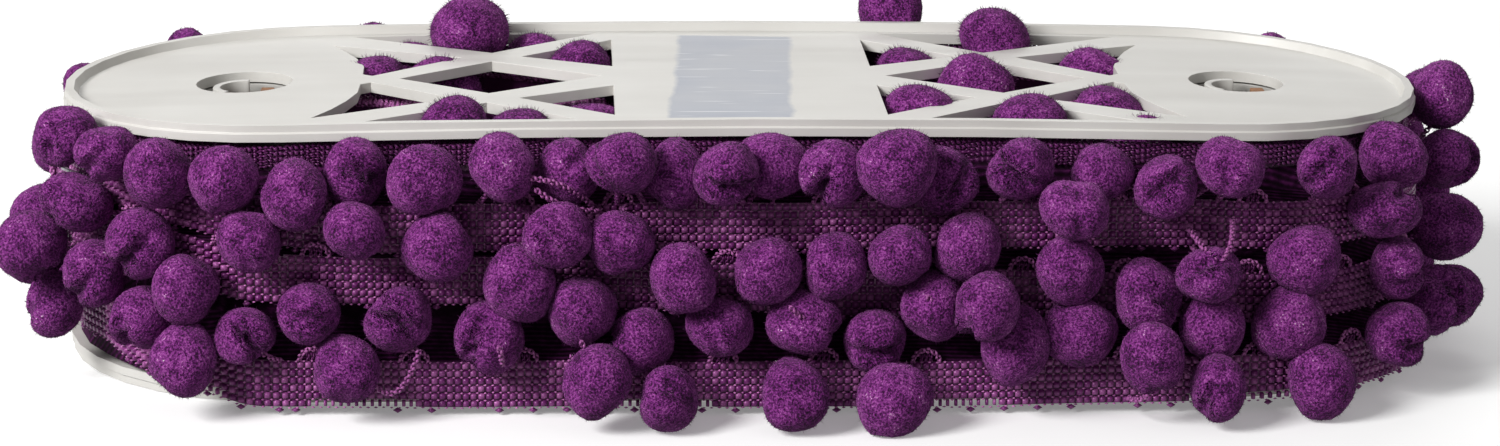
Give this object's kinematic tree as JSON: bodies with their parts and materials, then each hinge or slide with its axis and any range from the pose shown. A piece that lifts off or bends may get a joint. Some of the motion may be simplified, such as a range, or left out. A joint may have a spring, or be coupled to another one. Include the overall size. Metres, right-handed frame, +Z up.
{
  "type": "ball fringe trim on plastic reel",
  "caption": "Purple ball fringe trim, a woven tape with round pompoms on its edge, wound on a flat white plastic reel with open windows.",
  "frame": {"origin": "on the surface the reel rests on, below the middle of the wound reel", "axes": "+X along the reel's long side, +Z up through both flanges, -Y the side that faces the viewer in the picture"},
  "size_m": [0.3026, 0.1465, 0.0638],
  "materials": {
    "white_plastic": "moulded, satin, scuffed",
    "purple_yarn": "cut pile and woven braid",
    "brown_board": "kraft board, matte",
    "staple_steel": "drawn wire"
  },
  "bodies": {
    "root": {"flange_bottom": "white_plastic", "flange_top": "white_plastic", "hub_left": "white_plastic", "hub_right": "white_plastic", "peg_left": "brown_board", "peg_right": "brown_board", "staple": "staple_steel", "wound_roll": "purple_yarn", "inner_front_left": "purple_yarn", "inner_front_right": "purple_yarn", "inner_centre_left": "purple_yarn", "inner_centre_right": "purple_yarn", "inner_back_left": "purple_yarn", "inner_back_right": "purple_yarn", "tape_low_front": "purple_yarn", "tape_low_right_front": "purple_yarn", "tape_low_right_back": "purple_yarn", "tape_low_back": "purple_yarn", "tape_low_left_back": "purple_yarn", "tape_low_left_front": "purple_yarn", "tape_middle_front": "purple_yarn", "tape_middle_right_front": "purple_yarn", "tape_middle_right_back": "purple_yarn", "tape_middle_back": "purple_yarn", "tape_middle_left_back": "purple_yarn", "tape_middle_left_front": "purple_yarn", "tape_upper_front": "purple_yarn", "tape_upper_right_front": "purple_yarn", "tape_upper_right_back": "purple_yarn", "tape_upper_back": "purple_yarn", "tape_upper_left_back": "purple_yarn", "tape_upper_left_front": "purple_yarn"}
  },
  "joints": []
}
